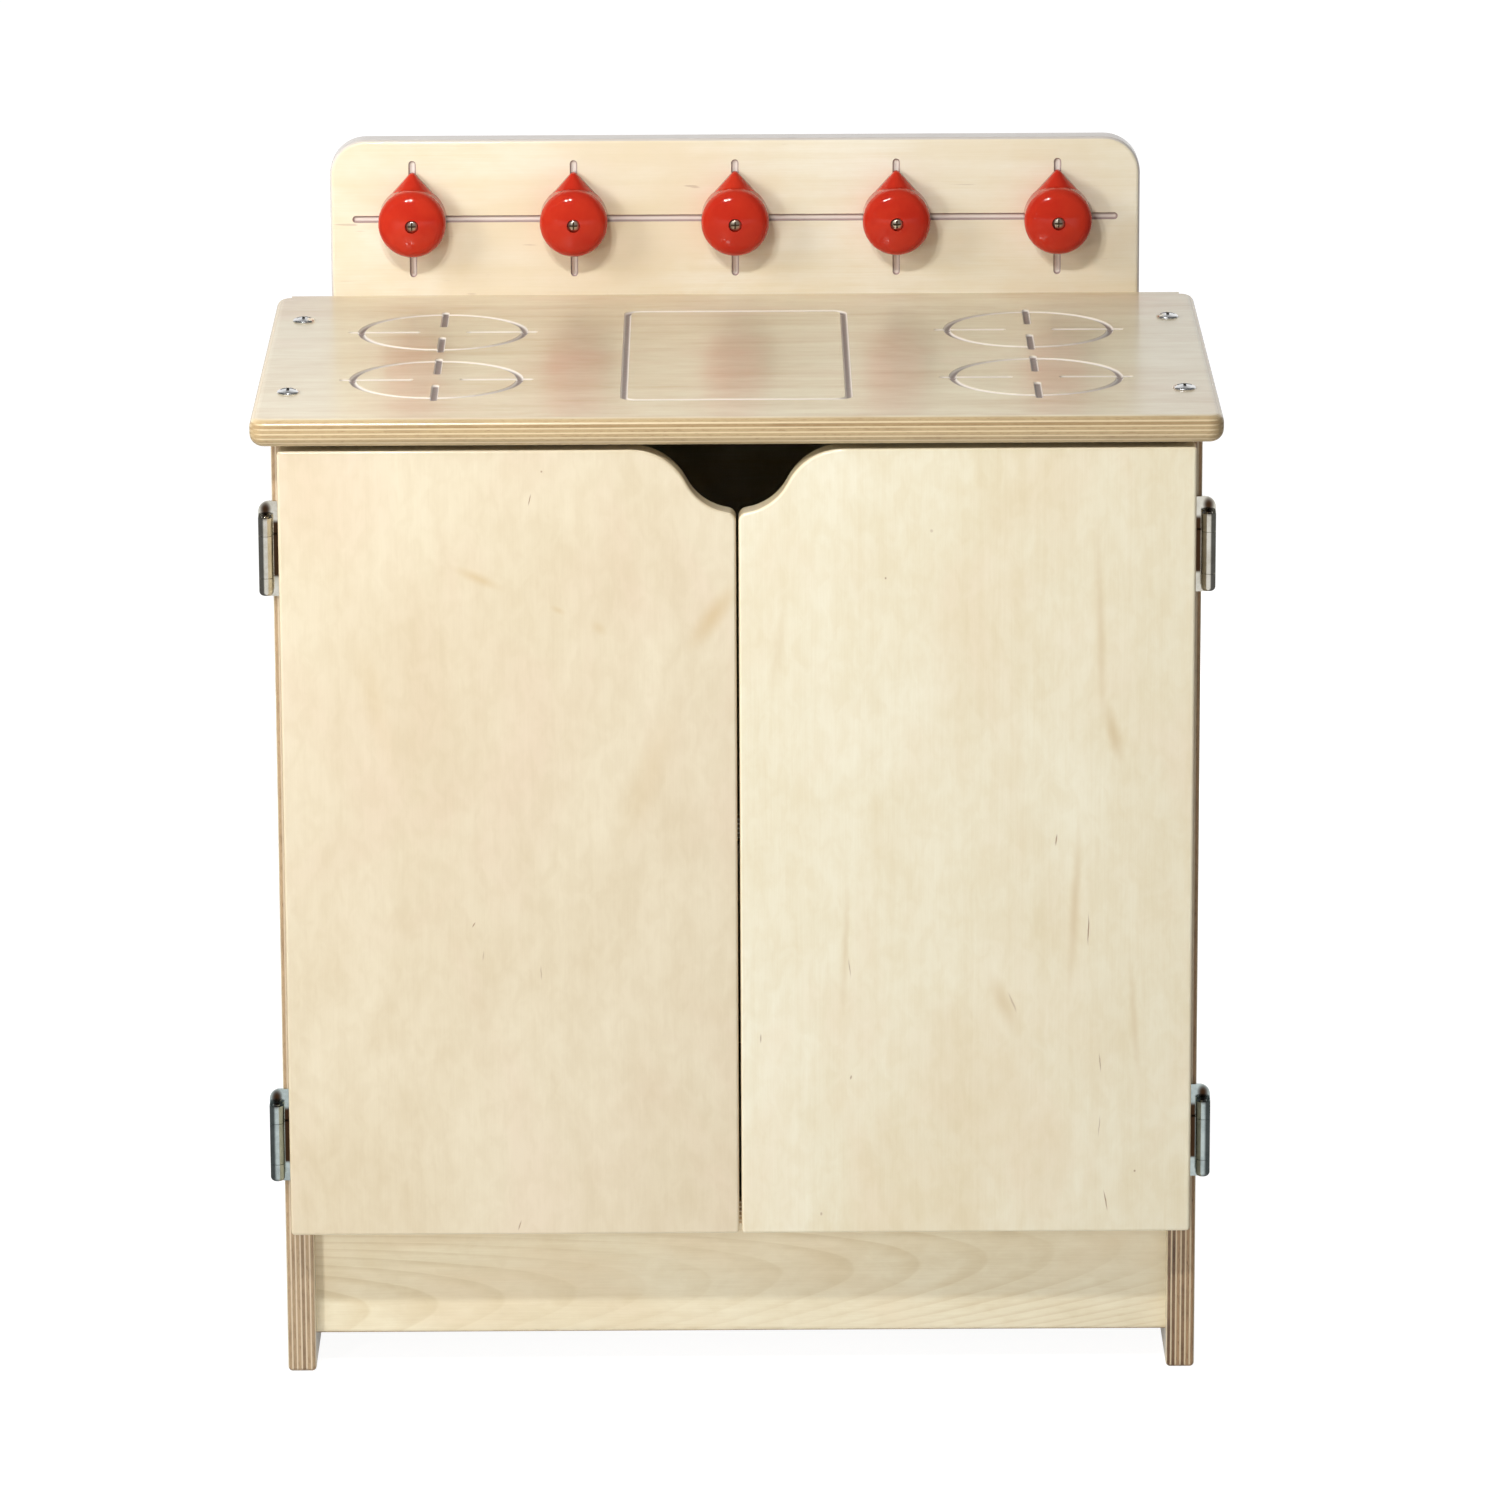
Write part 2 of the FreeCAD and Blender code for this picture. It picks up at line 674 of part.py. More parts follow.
def hinge_pin(level):
    low = Vector(pin_x, pin_y, level - barrel_drop - barrel_half + knuckle_tip)
    length = 2 * barrel_half - knuckle_tip
    side = Vector(pin_radius, 0, length)
    small = pin_radius - pin_crown
    crown = bend(Vector(small, 0, length), side, Vector(small, 0, length + pin_crown))
    top = Vector(0, 0, length + pin_crown)
    foot = Vector(pin_radius, 0, 0)
    return placed(turned([line(middle, foot), line(foot, side), crown,
                          line(Vector(small, 0, length + pin_crown), top), line(top, middle)]), low, up)


# Knobs, made with the back at the origin and +Z to the front
def knob_body():
    small_back = knob_radius - knob_back_edge
    back = Vector(small_back, 0, 0)
    back_side = Vector(knob_radius, 0, knob_back_edge)
    nose_point = Vector(0, 0, knob_depth)
    rim_out = knob_radius - knob_rim
    rim_rise = math.sqrt((knob_dome - knob_rim) ** 2 - rim_out ** 2)
    dome_hub = Vector(0, 0, knob_depth - knob_dome)
    rim_hub = Vector(rim_out, 0, dome_hub.z + rim_rise)
    front_side = Vector(knob_radius, 0, rim_hub.z)
    meet = dome_hub + (rim_hub - dome_hub) * (knob_dome / (knob_dome - knob_rim))
    return turned([line(middle, back), bend(Vector(small_back, 0, knob_back_edge), back, back_side),
                   line(back_side, front_side), bend(rim_hub, front_side, meet),
                   bend(dome_hub, meet, nose_point), line(nose_point, middle)])


def knob_pointer():
    """A teardrop under the round body, with a cone on it whose tip shows the setting."""
    root = knob_radius - pointer_inset
    hub = pointer_reach - pointer_tip
    slope = math.asin((root - pointer_tip) / hub)
    across = Vector(math.cos(slope), 0, 0)
    along = Vector(0, math.sin(slope), 0)
    tip_hub = Vector(0, hub, 0)
    tip = Vector(0, pointer_reach, 0)
    root_right, root_left = (along + across) * root, (along - across) * root
    tip_right = tip_hub + (along + across) * pointer_tip
    tip_left = tip_hub + (along - across) * pointer_tip
    base = extruded([line(root_right, tip_right), arc(tip_right, tip, tip_left), line(tip_left, root_left),
                     arc(root_left, Vector(0, -root, 0), root_right)], up * pointer_base)
    root_middle = along * root
    half_outline = [line(root_middle, root_right), line(root_right, tip_right), bend(tip_hub, tip_right, tip),
                    line(tip, root_middle)]
    cone = Part.Face(Part.Wire(half_outline)).revolve(middle, rear, 360)
    cone = cone.cut(block(-root, root, -root, pointer_reach + overrun, -root, 0))
    cone.translate(up * pointer_base)
    return base.fuse(cone).removeSplitter()


def knob(x):
    shape = knob_body().fuse(knob_pointer())
    recess = Vector(0, 0, knob_depth - knob_recess_depth)
    shape = shape.cut([rod(recess, recess + up * (knob_recess_depth + overrun), knob_recess_radius),
                       rod(-up * overrun, recess + up * overrun, knob_screw_radius + turning_clearance)])
    shape.Placement = Placement(Vector(x, back_front - knob_clearance, knob_axis), Rotation(right, 90))
    return shape


def knob_screw(x):
    seat = knob_front + knob_recess_depth - knob_clearance
    length = back_front - seat + knob_screw_grip
    screw = domed_screw(knob_screw_head, knob_screw_crown, knob_screw_radius, length)
    return placed(screw, Vector(x, seat, knob_axis), -rear)


# Magnetic catch and strike plates
def catch_screw_points():
    return [Vector(side * catch_screw_spread, catch_front + catch_depth / 2, catch_top - catch_height)
            for side in (-1, 1)]


def strike_screw_points():
    return [Vector(magnet_spread, door_back + strike_thickness, magnet_level + share * strike_height)
            for share in strike_screw_shares]


def magnet(side, margin, front_margin):
    """A magnet, or its pocket when given a margin."""
    half_width = magnet_width / 2 + margin
    half_height = magnet_height / 2 + margin
    x = side * magnet_spread
    return block(x - half_width, x + half_width, catch_front - front_margin,
                 catch_front + magnet_depth + margin, magnet_level - half_height, magnet_level + half_height)


def catch_housing():
    half_width = catch_width / 2
    housing = block(-half_width, half_width, catch_front, catch_front + catch_depth,
                    catch_top - catch_height, catch_top)
    housing = rounded(housing, catch_edge, lambda point: near(abs(point.x), half_width)
                      and near(point.z, catch_top - catch_height / 2))
    cuts = [magnet(side, seat_clearance, overrun) for side in (-1, 1)]
    cuts += flat_screw_seats(catch_screw_length, catch_screw_points(), -up)
    return housing.cut(cuts)


def right_strike_plate():
    half_width = strike_width / 2
    half_height = strike_height / 2
    plate = block(magnet_spread - half_width, magnet_spread + half_width, door_back,
                  door_back + strike_thickness, magnet_level - half_height, magnet_level + half_height)
    plate = rounded(plate, strike_corner, lambda point: near(point.y, door_back + strike_thickness / 2))
    return plate.cut(flat_screw_seats(strike_screw_length, strike_screw_points(), rear))


# Every node, with its solids
def nodes():
    parts = {
        "right_side_panel": [right_side_panel()],
        "left_side_panel": [mirrored(right_side_panel())],
        "back_panel": [back_panel()],
        "top_panel": [top_panel()],
        "bottom_shelf": [bottom_shelf()],
        "middle_shelf": [middle_shelf()],
        "kick_plate": [kick_plate()],
        "carcass_dowels": carcass_dowels(),
        "top_bolts": [top_bolt(point) for side in (-1, 1) for point in bolt_points(side)],
        "barrel_nuts": [barrel_nut(point) for side in (-1, 1) for point in bolt_points(side)],
        "knob_screws": [knob_screw(x) for x in knob_places],
        "catch_housing": [catch_housing()],
        "catch_magnets": [magnet(side, 0, 0) for side in (-1, 1)],
        "catch_screws": flat_screws(catch_screw_length, catch_screw_points(), -up),
    }
    for number, x in enumerate(knob_places, 1):
        parts[f"knob_{number}"] = [knob(x)]
    right_hand = {
        "door": [right_door()],
        "strike_plate": [right_strike_plate()],
        "strike_screws": flat_screws(strike_screw_length, strike_screw_points(), rear),
        "door_leaf_screws": [],
    }
    frame_screws = []
    for name, level in hinge_levels.items():
        right_hand[f"{name}_frame_leaf"] = [frame_leaf(level)]
        right_hand[f"{name}_door_leaf"] = [door_leaf(level)]
        right_hand[f"{name}_hinge_pin"] = [hinge_pin(level)]
        right_hand["door_leaf_screws"] += flat_screws(hinge_screw_length, door_screw_points(level), rear)
        frame_screws += flat_screws(hinge_screw_length, frame_screw_points(level), -right)
    for name, shapes in right_hand.items():
        parts[f"right_{name}"] = shapes
        parts[f"left_{name}"] = [mirrored(shape) for shape in shapes]
    parts["frame_leaf_screws"] = frame_screws + [mirrored(screw) for screw in frame_screws]
    return parts


os.makedirs("parts", exist_ok=True)
for name, shapes in nodes().items():
    solids = [solid for shape in shapes for solid in shape.Solids]
    whole = solids[0] if len(solids) == 1 else Part.makeCompound(solids)
    whole.exportStep(f"parts/{name}.step")
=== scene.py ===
import json
import math

import bpy
from mathutils import Matrix, Vector


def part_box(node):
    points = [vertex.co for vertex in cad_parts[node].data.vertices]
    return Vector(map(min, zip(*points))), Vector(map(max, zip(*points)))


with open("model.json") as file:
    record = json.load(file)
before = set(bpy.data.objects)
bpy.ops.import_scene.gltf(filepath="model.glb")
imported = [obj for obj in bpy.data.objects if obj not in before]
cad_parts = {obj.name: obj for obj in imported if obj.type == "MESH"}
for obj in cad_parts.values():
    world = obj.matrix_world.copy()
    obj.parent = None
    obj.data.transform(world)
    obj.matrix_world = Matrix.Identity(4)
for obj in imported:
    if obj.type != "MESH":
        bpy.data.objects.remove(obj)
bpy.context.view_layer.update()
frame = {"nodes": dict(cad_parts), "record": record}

# The looks of a child's plywood play stove. Lengths are in metres, in the model's own frame.
mm = 0.001

# The screen's colour curve: a straight foot, then a power
screen_white = 255
curve_foot = 0.04045
curve_foot_slope = 12.92
curve_offset = 0.055
curve_power = 2.4


def tone(red, green, blue):
    """A colour from its 8-bit screen values."""
    def linear(value):
        share = value / screen_white
        if share <= curve_foot:
            return share / curve_foot_slope
        return ((share + curve_offset) / (1 + curve_offset)) ** curve_power
    return linear(red), linear(green), linear(blue), 1.0


def grey(level):
    return level, level, level, 1.0


# Camera
camera_place = Vector((-0.0057, -5.6207, 1.8982))
camera_pitch = math.radians(15.0635)     # below level
camera_yaw = math.radians(0.1417)        # towards +X
camera_roll = math.radians(-0.2559)
sensor_width_mm = 36.0
lens_mm = 205.022

# Light
white = grey(1.0)
ambient_strength = 0.25
floor_half = 15.0
floor_bounce = 0.80                      # the floor's own paleness
floor_shown = 0.20                       # share of it that shows, with the shadow, under the white
floor_glow = 0.94, 1.00                  # the white near the object and further off
floor_glow_reach = 0.4, 1.3
lamps = {
    # name: place, target, width, height, watts, whether it shows in shiny surfaces
    "left_softbox": ((-1.20, -1.80, 0.55), (0.0, 0.0, 0.40), 0.26, 0.85, 12.5, False),
    "right_softbox": ((1.15, -1.40, 0.45), (0.05, -0.20, 0.40), 0.20, 0.80, 0.8, False),
    "key_left": ((-0.55, -1.20, 1.78), (0.0, 0.0, 0.50), 0.07, 0.07, 8.1, True),
    "key_right": ((-0.31, -1.20, 1.78), (0.0, 0.0, 0.50), 0.07, 0.07, 8.1, True),
    "side_panel": ((-1.15, -0.50, 1.25), (0.0, 0.12, 0.70), 0.40, 0.50, 8.8, False),
    "rear_softbox": ((0.85, 1.85, 0.42), (0.0, 0.0, 0.40), 0.70, 0.60, 29.0, False),
}

# What shiny surfaces see: a white backdrop behind, a bright strip of floor ahead, and dark elsewhere
studio_dark = 0.12
backdrop_start = 0.35, 0.75              # along the direction's Y
strip_bright = 0.90
strip_dark = 0.12
strip_lead = 0.30                        # the strip widens from this far behind the object's middle
strip_sides = 0.35, 0.90                 # its soft sides, as slopes

# Noise, where nothing else is said
noise_detail = 2.0
noise_roughness = 0.5
noise_middle = 0.5                       # its mean

# Plywood
ply_face_mm = 0.6                        # outer plies, sanded thin
ply_long_mm = 1.1                        # inner plies along the face's grain
plies_across = 6                         # plies across it, which share the rest of the thickness
ply_blur = 0.045                         # softness of a ply's border, as a share of a pair of plies
ply_wander_mm = 0.28
ply_step = 0.5                           # from one ply to the next, as a share of a pair
face_ends_mm = 0.42, 0.72                # depth at which the face's veneer gives way to the cut plies
end_grain = 0.15, 0.85                   # how squarely a ply meets the surface to show its end
tone_browning = 0.25, 1.0, 0.0, 0.75     # from a ply's own tone
patch_browning = 0.40, 0.80, -0.12, 0.55
patch_scale = 22.0
patch_detail = 5.0
patch_roughness = 0.65
wander_scale = 7.0
wander_detail = 3.0
edge_mix_power = 0.3                     # how soon an edge's depth brings out its ply ends
glue_half = 0.05                         # half a glue line, as a share of a pair
glue_patches = 0.35, 0.65, 0.25, 0.85
glue_strength = 0.65
glue_brown = tone(104, 74, 48)
speckle_on_cream = 0.3
pore_scale = 1400.0
speckle_along = 240.0                    # end grain's dark fibres, repeats in a metre
speckle_across = 1500.0
speckle_detail = 3.0
speckle_shares = 0.50, 0.74, 0.0, 0.55
groove_inset = 14 * mm                   # grooves lie further than this from the board's ends
groove_start_mm = 0.10, 0.35
lacquer_weight = 0.80
wood_roughness = 0.2, 0.8, 0.38, 0.55
wood_specular = 0.2
wood_relief = 0.03 * mm
fibre_relief = 0.6

# Veneer patterns: repeats in a metre along the grain and across it, detail, roughness, distortion,
# and the values between which the pattern sets in
patterns = {
    "clouds": (7.0, 13.0, 4.0, 0.55, 0.90, 0.26, 0.76),
    "blush": (5.0, 9.0, 3.0, 0.60, 0.60, 0.42, 0.72),
    "drift": (1.6, 5.0, 1.0, 0.50, 0.00, 0.30, 0.70),
    "mottle": (60.0, 105.0, 3.0, 0.55, 0.50, 0.32, 0.70),
    "narrow_streaks": (2.2, 95.0, 4.0, 0.62, 0.25, 0.34, 0.78),
    "broad_streaks": (3.0, 42.0, 4.0, 0.62, 0.25, 0.34, 0.78),
    "breaks": (2.4, 7.0, 2.0, 0.50, 0.00, 0.30, 0.62),
    "pins": (26.0, 240.0, 1.0, 0.50, 0.00, 0.765, 0.81),
    "fibre": (34.0, 1150.0, 2.5, 0.65, 0.00, 0.0, 1.0),
    "hills": (1.3, 6.5, 1.6, 0.45, 0.35, 0.0, 1.0),
    "sway": (4.0, 14.0, 3.0, 0.50, 0.00, 0.0, 1.0),
    "slow_sway": (3.0, 8.0, 3.0, 0.50, 0.00, 0.0, 1.0),
}
drift_share = 0.35                       # of the clouds
blush_share = 0.7
ring_rise = 0.45, 0.92                   # a growth ring's soft side, as shares of a turn
ring_fall = 0.92, 1.0
mark_brown = tone(142, 96, 58)
smear_tan = tone(206, 178, 128)
mark_depth = 3 * mm                      # marks lie on the front face alone
mark_softness = 0.3
smear_softness = 0.0
mark_wobble_scale = 90.0
mark_wobble = 1.6 * mm

# Marks on the doors' fronts: x and z in mm, half length, half width, lean in degrees, strength
left_door_marks = (
    (-135.4, 608.0, 5.0, 0.55, 12, 0.75), (-127.4, 626.9, 1.0, 0.9, 0, 0.60),
    (-175.4, 319.5, 2.6, 0.6, 30, 0.70), (-169.6, 298.1, 4.5, 0.5, 8, 0.35),
    (-131.2, 286.2, 6.0, 0.5, 0, 0.45), (-147.2, 110.5, 4.5, 0.6, 15, 0.60),
)
left_door_smears = (
    (-170.0, 555.4, 22.0, 5.0, -66, 0.55), (-117.6, 533.7, 7.0, 3.0, -60, 0.40),
    (-90.7, 521.4, 8.0, 5.0, -50, 0.35), (-16.0, 529.4, 34.0, 10.0, 35, 0.60),
    (-60.0, 420.0, 70.0, 16.0, 20, 0.22), (-238.0, 470.0, 60.0, 12.0, -12, 0.20),
)
right_door_marks = (
    (96.9, 554.2, 1.1, 0.9, 0, 0.60), (127.0, 585.9, 1.6, 1.4, 0, 0.30),
    (209.4, 375.9, 5.0, 0.7, 8, 0.75), (231.0, 314.0, 13.0, 0.55, 0, 0.80),
    (73.0, 288.5, 8.0, 0.5, -6, 0.45), (13.8, 240.0, 4.0, 0.55, -4, 0.60),
    (73.8, 212.7, 2.0, 0.8, 10, 0.60), (239.3, 222.0, 8.0, 0.5, -5, 0.60),
    (239.0, 178.0, 9.0, 0.45, 4, 0.45), (243.6, 126.0, 9.0, 0.6, -10, 0.75),
    (262.7, 146.5, 1.1, 1.0, 0, 0.60), (53.9, 117.5, 1.6, 1.0, 0, 0.45),
    (180.9, 264.0, 9.0, 0.8, -22, 0.35),
)
right_door_smears = (
    (247.1, 447.8, 26.0, 7.0, -14, 0.55), (237.7, 520.0, 90.0, 5.0, -2, 0.35),
    (222.0, 330.0, 70.0, 5.0, 3, 0.45), (176.0, 262.0, 30.0, 9.0, -24, 0.35),
    (262.0, 250.0, 60.0, 4.0, -4, 0.30), (70.0, 300.0, 60.0, 3.5, 2, 0.30),
    (26.0, 505.0, 40.0, 7.0, 8, 0.22),
)

# How a board looks. Edge colours: plies along the surface, and ply ends from tan to brown
plain_look = dict(
    pale=tone(236, 225, 198), deep=tone(214, 192, 154), blush=tone(226, 202, 170),
    clouds=0.55, streaks=0.35, streak_kind="narrow_streaks", mottle=0.10, fibre=0.45,
    figure=0.40, rings=8.0, pins=0.25,
    edge=(tone(236, 214, 174), tone(196, 160, 112), tone(126, 92, 62)), edge_depth=0.85,
    lacquer_roughness=0.17, marks=(), smears=())
# The doors' edges are paler and less brown than other boards': partly the plies' colour, partly painted
# light on the rounded edges that lie in shade under the top's overhang
door_edge = tone(240, 228, 200), tone(228, 208, 170), tone(200, 172, 128)
boards = {
    # The doors' tones are partly their own wood and partly painted light and shade: the left door is darker
    # and the right door paler, evening out the stronger lamp on the left
    "left_door": dict(
        seed=3.1, grain="Z", through="Y",
        pale=tone(231, 219, 192), deep=tone(212, 194, 160), blush=tone(228, 207, 182),
        clouds=0.62, streaks=0.10, mottle=0.22, fibre=0.30, figure=0.16, pins=0.0,
        arcs=(-314.7, 108.6, 100.0, 175.0, 11.0), edge=door_edge, edge_depth=0.5,
        marks=left_door_marks, smears=left_door_smears),
    "right_door": dict(
        seed=7.7, grain="Z", through="Y",
        pale=tone(242, 235, 211), deep=tone(224, 208, 170), blush=tone(238, 221, 194),
        clouds=0.55, streaks=0.20, mottle=0.22, fibre=0.30, figure=0.0, pins=0.0,
        edge=door_edge, edge_depth=0.5, marks=right_door_marks, smears=right_door_smears),
    "left_side_panel": dict(
        seed=11.3, grain="Z", through="X",
        edge=(tone(216, 197, 168), tone(180, 153, 119), tone(120, 94, 70)), edge_depth=0.95),
    "right_side_panel": dict(
        seed=15.9, grain="Z", through="X", rings=7.0,
        edge=(tone(218, 198, 164), tone(172, 138, 102), tone(96, 69, 47)), edge_depth=1.05),
    # Its grooves' colours are painted shade: darker walls, which lie in shade, and a pale bed
    "back_panel": dict(
        seed=19.5, grain="X", through="Y",
        pale=tone(246, 241, 226), deep=tone(227, 211, 174), blush=tone(232, 212, 180),
        clouds=0.50, streaks=0.30, figure=0.15, pins=0.3,
        edge=(tone(224, 216, 208), tone(214, 204, 194), tone(196, 184, 172)), edge_depth=0.5,
        groove_painted_light=(tone(168, 148, 142), tone(238, 228, 218)), groove_turn_mm=(1.3, 2.1)),
    # Its grooves' colours are painted light and shade: a painted highlight on the pale upper walls and
    # painted shade on the darker deep bed
    "top_panel": dict(
        seed=23.2, grain="X", through="Z",
        pale=tone(231, 223, 195), deep=tone(202, 178, 141), blush=tone(222, 194, 168),
        clouds=0.55, streaks=0.45, streak_kind="broad_streaks", fibre=0.55, figure=0.05, pins=0.0,
        edge=(tone(218, 197, 158), tone(185, 159, 117), tone(140, 108, 69)), edge_depth=0.75,
        lacquer_roughness=0.21,
        groove_painted_light=(tone(230, 221, 210), tone(150, 137, 131)), groove_turn_mm=(0.9, 1.9)),
    "bottom_shelf": dict(seed=27.4, grain="X", through="Z"),
    "middle_shelf": dict(seed=31.8, grain="X", through="Z", rings=9.0),
    # Its tones are painted paler than the doors' to stand in for light, as it lies in shade below the doors
    "kick_plate": dict(
        seed=35.6, grain="X", through="Y",
        pale=tone(249, 239, 210), deep=tone(222, 203, 163), blush=tone(241, 220, 185),
        clouds=0.45, streaks=0.20, mottle=0.18, figure=0.38, pins=0.0, cathedral=True),
}

# The kick plate's figure: curves that open to the left, one inside the other
cathedral_bend = 0.097                   # per mm
cathedral_middle_mm = 60.0               # height of their tips
cathedral_rise = 0.085                   # how the tips climb to the right
cathedral_spacing_mm = 46.0
cathedral_wander_mm = 34.0
arc_wander = 3.0                         # turns by which the left door's arcs stray
arc_fade = 0.6, 1.5

# Metals: colours, roughness of bright and dull places, axis of the brushing
metals = {
    "hinge_steel": (tone(226, 223, 212), tone(205, 200, 186), 0.12, 0.20, "Z"),
    # The lower hinges' copy of the hinge steel, darker and bluer: a painted reflection
    "hinge_slate": (tone(196, 208, 206), tone(166, 178, 178), 0.14, 0.24, "Z"),
    "zinc_screw": (tone(226, 227, 227), tone(204, 205, 206), 0.12, 0.22, "X"),
    "knob_screw_zinc": (tone(216, 204, 188), tone(192, 178, 160), 0.30, 0.42, "X"),
    "bolt_zinc": (tone(240, 240, 240), tone(224, 225, 226), 0.24, 0.34, "X"),
}
brush_along = 60.0
brush_across = 2600.0
brush_detail = 3.0
brush_relief = 0.004 * mm
brush_roughness = 0.06
metal_cloud_scale = 90.0
metal_cloud_detail = 4.0
metal_noise_roughness = 0.6
metal_clouds = 0.30, 0.72
# Painted shade for the hinges' hollows, and the painted dark reflection above their barrels
painted_hollow_shade = tone(66, 46, 30)
# Painted shade in the crosses of the bolts' and knob screws' heads
bolt_shade = tone(128, 125, 122)
screw_shade = tone(92, 74, 60)

# Painted shade in the hollow between a hinge's barrel and its door, in mm: sides, ends and the hinges'
# levels
hollow_inner_mm = 299.0, 300.0
hollow_outer_mm = 303.6, 304.4
hollow_end_mm = 17.0, 20.5
hinge_level_mm = 168.0                   # the lower hinges' middle
hinge_pitch_mm = 403.0                   # from there to the upper hinges
barrel_out_mm = 309.0
shade_rise_mm = 26.5                     # a dark reflection above each barrel
shade_half_mm = 4.4, 6.5
shade_fade = 0.0, 1.0

# Crosses in the domed heads, in mm, which get painted shade
knob_pitch_mm = 111.5
knob_level_mm = 717.5
knob_screw_crest_mm = 157.3
knob_screw_dome_mm = 7.85
knob_screw_reach_mm = 3.0
bolt_out_mm = 295.5
bolt_back_mm = 102.0
bolt_pitch_mm = 223.0
bolt_crest_mm = 666.7
bolt_dome_mm = 14.0
bolt_reach_mm = 5.2
cross_start_mm = 0.12, 0.45
cross_rim = 1.15                         # softness of a cross's ends

# Other finishes
red_tones = tone(194, 50, 29), tone(186, 42, 25)
red_cloud_scale = 60.0
red_cloud_detail = 3.0
red_dent_scale = 700.0
red_roughness = 0.2, 0.8, 0.06, 0.10
red_relief = 0.015 * mm
red_specular = 0.32
soft_range = 0.3, 0.7
dowel_tones = tone(214, 178, 138), tone(186, 146, 106)
dowel_scale = 300.0
dowel_detail = 4.0
dowel_roughness = 0.2, 0.8, 0.55, 0.75
dowel_relief = 0.05 * mm
moulded_tones = {
    # name: colours, lowest and highest roughness
    "catch_plastic": (tone(226, 220, 204), tone(216, 208, 190), 0.45, 0.60),
    "magnet_ferrite": (tone(66, 66, 68), tone(48, 48, 50), 0.55, 0.75),
}
moulded_scale = 900.0
moulded_detail = 3.0
moulded_relief = 0.04 * mm


class Nodes:
    """A node tree being made. Each method adds a node and gives its output."""

    def __init__(self, tree):
        self.tree = tree
        self.texture_place = self.node("TexCoord")

    def put(self, socket, value):
        if isinstance(value, bpy.types.NodeSocket):
            self.tree.links.new(value, socket)
        else:
            socket.default_value = value

    def node(self, kind, *values, **settings):
        made = self.tree.nodes.new("ShaderNode" + kind)
        for setting, value in settings.items():
            setattr(made, setting, value)
        for socket, value in zip(made.inputs, values):
            self.put(socket, value)
        return made

    def out(self, kind, *values, **settings):
        return self.node(kind, *values, **settings).outputs[0]

    def axes(self, kind):
        """The x, y and z of the Object place, the Normal or the Generated direction."""
        split = self.node("SeparateXYZ", self.texture_place.outputs[kind])
        return {axis: split.outputs[axis] for axis in "XYZ"}

    def math(self, operation, *values):
        return self.out("Math", *values, operation=operation)

    def add(self, first, second):
        return self.math("ADD", first, second)

    def times(self, first, second):
        return self.math("MULTIPLY", first, second)

    def less(self, first, second):
        return self.math("SUBTRACT", first, second)

    def in_mm(self, length):
        return self.times(length, 1 / mm)

    def size(self, value):
        return self.math("ABSOLUTE", value)

    def lower(self, first, second):
        return self.math("MINIMUM", first, second)

    def repeat(self, value, pitch):
        """How far a value lies from the nearest multiple of a pitch."""
        return self.math("WRAP", value, pitch / 2, -pitch / 2)

    def blend(self, share, first, second):
        """A number between two numbers."""
        return self.add(first, self.times(share, self.less(second, first)))

    def step(self, value, low, high, at_low=0.0, at_high=1.0):
        """A smooth step between two values."""
        return self.out("MapRange", value, low, high, at_low, at_high, interpolation_type="SMOOTHSTEP")

    def fall(self, value, low, high):
        return self.step(value, low, high, 1.0, 0.0)

    def vector(self, x, y, z):
        return self.out("CombineXYZ", x, y, z)

    def within(self, place, middle, lean, half):
        """A place measured from the middle of an oval that leans in the XZ plane, in its half widths."""
        return self.out("Mapping", place, middle, (0, lean, 0), half, vector_type="TEXTURE")

    def reach(self, vector):
        return self.node("VectorMath", vector, operation="LENGTH").outputs["Value"]

    def scaled(self, per_metre):
        """The Object place, times a number."""
        made = self.node("VectorMath", self.texture_place.outputs["Object"], operation="SCALE")
        made.inputs["Scale"].default_value = per_metre
        return made.outputs[0]

    def noise(self, place, detail=noise_detail, roughness=noise_roughness, distortion=0.0):
        made = self.node("TexNoise", normalize=True)
        self.put(made.inputs["Vector"], place)
        made.inputs["Scale"].default_value = 1.0
        made.inputs["Detail"].default_value = detail
        made.inputs["Roughness"].default_value = roughness
        made.inputs["Distortion"].default_value = distortion
        return made.outputs["Fac"]

    def mix(self, share, first, second):
        """A colour between two colours."""
        made = self.node("Mix", data_type="RGBA")
        self.put(made.inputs["Factor"], share)
        colours = [socket for socket in made.inputs if socket.type == "RGBA"]
        self.put(colours[0], first)
        self.put(colours[1], second)
        return [socket for socket in made.outputs if socket.type == "RGBA"][0]

    def bump(self, height, distance):
        made = self.node("Bump")
        made.inputs["Distance"].default_value = distance
        self.put(made.inputs["Height"], height)
        return made.outputs["Normal"]


class Shader(Nodes):
    """A material with one surface."""

    def __init__(self, name):
        self.material = bpy.data.materials.new(name)
        self.material.use_nodes = True
        super().__init__(self.material.node_tree)

    def finish(self, **values):
        """Sets the surface's sockets, named with _ for a space."""
        surface = self.tree.nodes["Principled BSDF"]
        for name, value in values.items():
            self.put(surface.inputs[name.replace("_", " ")], value)
        return self.material


